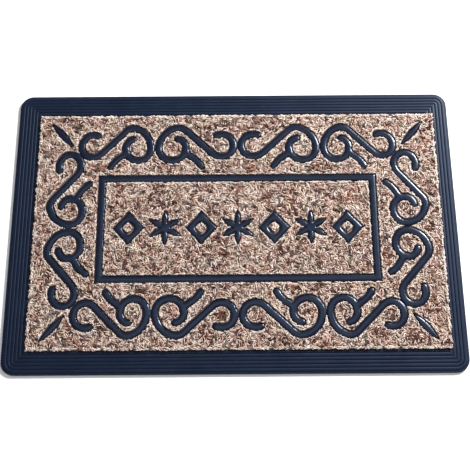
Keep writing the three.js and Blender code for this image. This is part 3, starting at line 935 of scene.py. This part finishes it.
def bake_map(n):
    """A place in the unit square for each face corner: one cell for each yarn, unrolled in it."""
    us, vs = [], []
    for k, s in QUADS:
        us += [s, s + 1, s + 1, s]
        vs += [k, k, k + 1, k + 1]
    for s in range(SIDES):
        us += [s, s + 1, s + 0.5]
        vs += [RINGS - 1, RINGS - 1, RINGS]
    in_cell = np.stack([0.1 + 0.8 * np.array(us) / SIDES, 0.06 + 0.88 * np.array(vs) / RINGS], 1)
    cells = math.ceil(math.sqrt(n))
    corner = np.stack([np.arange(n) % cells, np.arange(n) // cells], 1)
    return (corner[:, None] + in_cell[None]) / cells


def yarn_piece(name, centre, half, tone, hue, seeds):
    """Yarns as one mesh, with what their material reads: tone, hue, along and fibre."""
    n = len(centre)
    corners, sizes = yarn_faces(n)
    mesh = bpy.data.meshes.new(name)
    mesh.vertices.add(n * PER_YARN)
    mesh.vertices.foreach_set("co", yarn_vertices(centre, half).astype(np.float32).ravel())
    mesh.loops.add(len(corners))
    mesh.loops.foreach_set("vertex_index", corners.astype(np.int32))
    mesh.polygons.add(len(sizes))
    starts = np.concatenate([[0], np.cumsum(sizes)[:-1]])
    mesh.polygons.foreach_set("loop_start", starts.astype(np.int32))
    mesh.polygons.foreach_set("use_smooth", np.ones(len(sizes), bool))
    mesh.update(calc_edges=True)
    along = np.concatenate([np.repeat(np.linspace(0, 0.95, RINGS), SIDES), [1.0]])
    around = np.concatenate([np.tile(np.arange(SIDES) / SIDES, RINGS), [0.5]])
    round_yarn = np.tile(np.sin(around * 2 * np.pi), n) * 1.6
    fibre = np.stack([round_yarn, np.tile(along * 1.2, n), np.repeat(seeds * 97.0, PER_YARN)], 1)
    write(mesh, "tone", "FLOAT", np.repeat(tone, PER_YARN))
    write(mesh, "hue", "FLOAT", np.repeat(hue, PER_YARN))
    write(mesh, "along", "FLOAT", np.tile(along, n))
    write(mesh, "fibre", "FLOAT_VECTOR", fibre)
    layer = mesh.uv_layers.new(name="OFBake")
    layer.data.foreach_set("uv", bake_map(n).astype(np.float32).ravel())
    mesh.materials.append(YARN)
    piece = bpy.data.objects.new(name, mesh)
    bpy.context.scene.collection.objects.link(piece)
    return piece


def write(mesh, name, kind, values):
    attribute = mesh.attributes.new(name, kind, "POINT")
    field = "vector" if kind == "FLOAT_VECTOR" else "value"
    attribute.data.foreach_set(field, np.asarray(values, np.float32).ravel())


COLUMNS, ROWS = 5, 3  # of pieces that the pile is kept in, so that none has too many faces


def pile():
    centre, half, tone, hue = strands()
    seeds = RNG.uniform(0, 1, len(centre))
    x, y = centre[:, 0, 0] - PILE[0].x, centre[:, 0, 1] - PILE[0].y
    column = (x / (PILE[1].x - PILE[0].x) * COLUMNS).astype(int).clip(0, COLUMNS - 1)
    row = (y / (PILE[1].y - PILE[0].y) * ROWS).astype(int).clip(0, ROWS - 1)
    made = []
    for i in range(COLUMNS):
        for j in range(ROWS):
            mine = (column == i) & (row == j)
            name = f"pile_yarn_{i + 1}_{j + 1}"
            made.append(yarn_piece(name, centre[mine], half[mine], tone[mine], hue[mine], seeds[mine]))
    return made


def grid_over(low, high, step):
    """Coordinates of an even grid that fills the box, as two arrays."""
    xs = np.linspace(low[0], high[0], round((high[0] - low[0]) / step) + 1)
    ys = np.linspace(low[1], high[1], round((high[1] - low[1]) / step) + 1)
    return np.meshgrid(xs, ys, indexing="ij")


def grid_faces(nx, ny):
    """A grid's faces, and the indices round its rim."""
    index = np.arange(nx * ny).reshape(nx, ny)
    corners = (index[:-1, :-1], index[1:, :-1], index[1:, 1:], index[:-1, 1:])
    rim = [*index[:, 0], *index[-1, 1:], *index[-2::-1, -1], *index[0, -2:0:-1]]
    return np.stack([c.ravel() for c in corners], 1), rim


def shaded_pile_bed():
    """The tangle between the roots, a dark sheet of painted shade under the yarns, pressed down to the
    grooves' floor under the ribs.
    """
    gx, gy = grid_over(PILE[0], PILE[1], BED_GRID)
    open_ground = ground.from_groove(np.stack([gx, gy], 2)) > 0.2 * MM
    tangle = TOP_Z - BED_UNDER_TOP + RNG.uniform(-0.5, 0.5, gx.shape) * MM
    z = np.where(open_ground, tangle, FLOOR_OF_GROOVES - 0.1 * MM)
    top = np.dstack([gx, gy, z]).reshape(-1, 3)
    bottom = np.dstack([gx, gy, np.full_like(z, SCRIM[1].z + 0.05 * MM)]).reshape(-1, 3)
    upper, rim = grid_faces(*gx.shape)
    faces, m, around = upper.tolist(), len(top), len(rim)
    faces += [(rim[k], m + k, m + (k + 1) % around, rim[(k + 1) % around]) for k in range(around)]
    faces.append([m + k for k in range(around)][::-1])
    return new_piece("shaded_pile_bed", np.concatenate([top, bottom[rim]]), faces, BED)


def scrim():
    """The cloth that the pile is tufted into, with the rise and fall of its weave."""
    inset = Vector((SCRIM_INSET, SCRIM_INSET, 0))
    gx, gy = grid_over(SCRIM[0] + inset, SCRIM[1] - inset, SCRIM_GRID)
    wave = (np.add.outer(*(np.arange(k) for k in gx.shape)) % 2) * 0.12 * MM
    middle = (SCRIM[0].z + SCRIM[1].z) / 2
    vertices = []
    for offset in (0.3 * MM, -0.3 * MM):
        vertices.append(np.dstack([gx, gy, middle + offset + wave - 0.06 * MM]).reshape(-1, 3))
    upper, rim = grid_faces(*gx.shape)
    m = gx.size
    faces = np.concatenate([upper, upper[:, ::-1] + m]).tolist()
    for one, other in zip(rim, rim[1:] + rim[:1]):
        faces.append((one, one + m, other + m, other))
    return new_piece("carpet_scrim_cloth", np.concatenate(vertices), faces, CLOTH)


the_bed, yarns, the_scrim = shaded_pile_bed(), pile(), scrim()
for piece in [the_bed, *yarns]:
    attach(piece, "root")
    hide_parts("pile_carpet")
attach(the_scrim, "root")
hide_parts("carpet_scrim")


# ---- Stage ---------------------------------------------------------------------------------------


def floor():
    n = Nodes("studio_floor")
    place = n.add("ShaderNodeTexCoord").outputs["Object"]
    pale = n.ramp(n.noise(place, 3, 2), [(0.0, (0.90, 0.90, 0.90)), (1.0, (0.93, 0.93, 0.93))])
    n.link(pale, n.shader.inputs["Base Color"])
    n.shader.inputs["Roughness"].default_value = 0.9
    size = 6.0
    corners = [(-size, -size, 0), (size, -size, 0), (size, size, 0), (-size, size, 0)]
    plane = new_piece("floor", corners, [(0, 1, 2, 3)], n.material, smooth=False)
    plane.location.z = -0.05 * MM
    return plane


def lamp(name, place, towards, size, power, colour):
    data = bpy.data.lights.new(name, "AREA")
    data.shape, data.size, data.energy, data.color = "DISK", size, power, colour
    made = bpy.data.objects.new(name, data)
    made.location = place
    made.rotation_mode = "QUATERNION"
    made.rotation_quaternion = (Vector(towards) - Vector(place)).to_track_quat("-Z", "Y")
    bpy.context.scene.collection.objects.link(made)
    return made


def camera():
    """At the photograph's viewing angle: nearly above, a little to the front."""
    azimuth, elevation, roll = (math.radians(x) for x in (0.094, 69.382, -0.506))
    distance, shift = 1.29, Vector((-0.0012, 0.0095, 0.0))
    outwards = Vector((math.sin(azimuth), -math.cos(azimuth), 0)) * math.cos(elevation)
    back = outwards + Vector((0, 0, math.sin(elevation)))
    right = Vector((math.cos(azimuth), math.sin(azimuth), 0))
    up = back.cross(right)
    turned = Matrix(((math.cos(roll), math.sin(roll), 0), (-math.sin(roll), math.cos(roll), 0), (0, 0, 1)))
    axes = turned @ Matrix((right, up, back))
    data = bpy.data.cameras.new("camera")
    data.lens, data.sensor_width = 73.35, 36.0
    data.clip_start, data.clip_end = 0.05, 50.0
    made = bpy.data.objects.new("camera", data)
    place = back * distance - axes.transposed() @ shift
    made.matrix_world = Matrix.Translation(place) @ axes.transposed().to_4x4()
    bpy.context.scene.collection.objects.link(made)
    bpy.context.scene.camera = made


stage = [
    floor(),
    lamp("key", (1.45, 1.4, 1.12), (0, 0, 0), 0.34, 137, (1.0, 0.985, 0.965)),
    lamp("fill", (-0.7, -1.8, 1.5), (0, 0, 0), 1.6, 11, (0.93, 0.96, 1.0)),
    lamp("top", (0.0, 0.2, 2.6), (0, 0, 0), 1.8, 8, (1.0, 1.0, 1.0)),
]
world = bpy.data.worlds.new("studio")
world.use_nodes = True
world.node_tree.nodes["Background"].inputs["Color"].default_value = (1.0, 1.0, 1.0, 1.0)
world.node_tree.nodes["Background"].inputs["Strength"].default_value = 0.25
bpy.context.scene.world = world
bpy.context.scene.view_settings.view_transform = "Standard"
camera()
